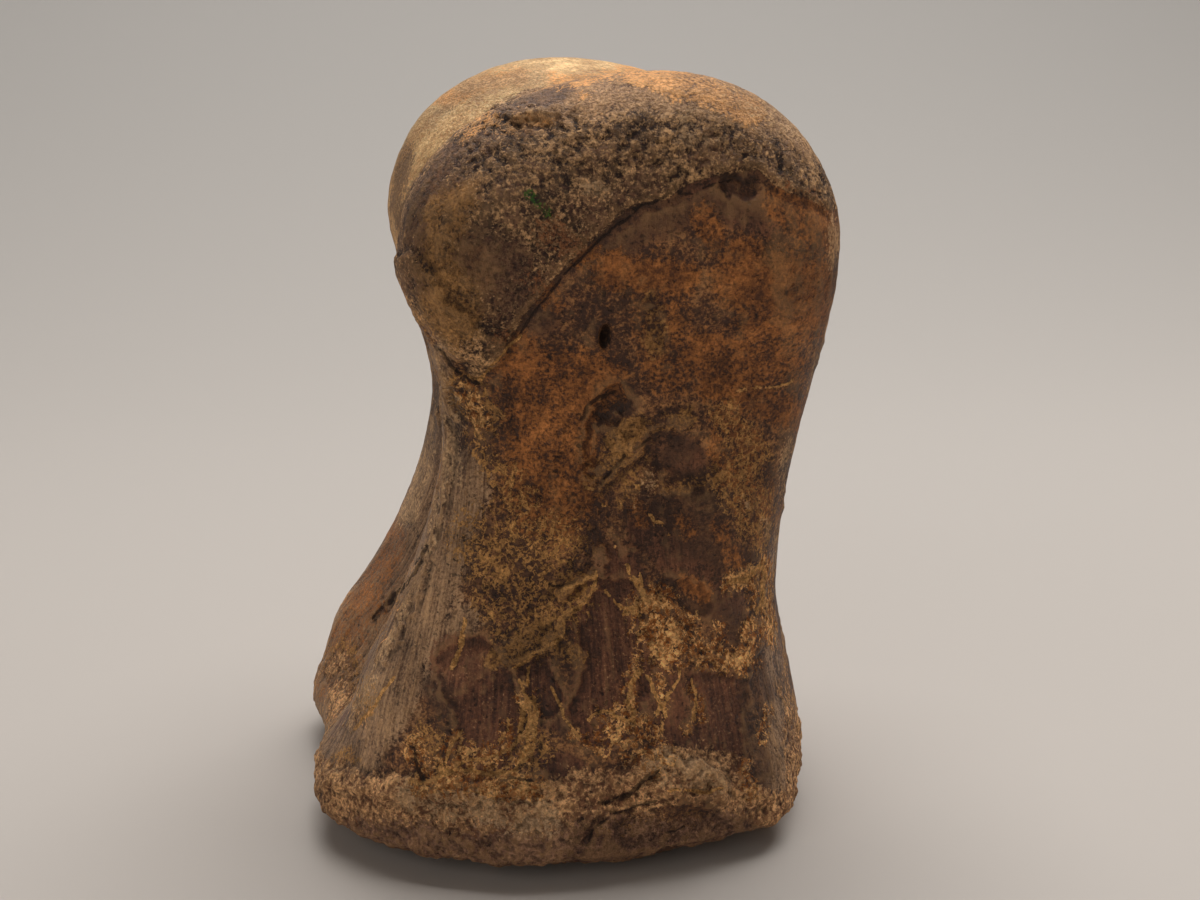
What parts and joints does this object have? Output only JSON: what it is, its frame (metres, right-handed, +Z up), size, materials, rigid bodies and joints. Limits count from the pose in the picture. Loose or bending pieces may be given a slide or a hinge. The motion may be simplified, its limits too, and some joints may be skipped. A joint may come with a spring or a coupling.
{
  "type": "fossil hadrosaur toe bone",
  "caption": "Stout, waisted toe bone that stands on its broad rounded end, with a grooved joint roller on top; a fossil for display or study.",
  "frame": {"origin": "middle of the bone's footprint, on the surface that it stands on", "axes": "+Z up along the bone to its distal condyles, +X to the dorsal side, +Y across the toe"},
  "size_m": [0.0869, 0.0956, 0.1246],
  "materials": {
    "fossil_bone": "dull brown mineralised bone with rust, ochre and grey-black stains"
  },
  "bodies": {
    "root": {"toe_bone": "fossil_bone"}
  },
  "joints": []
}
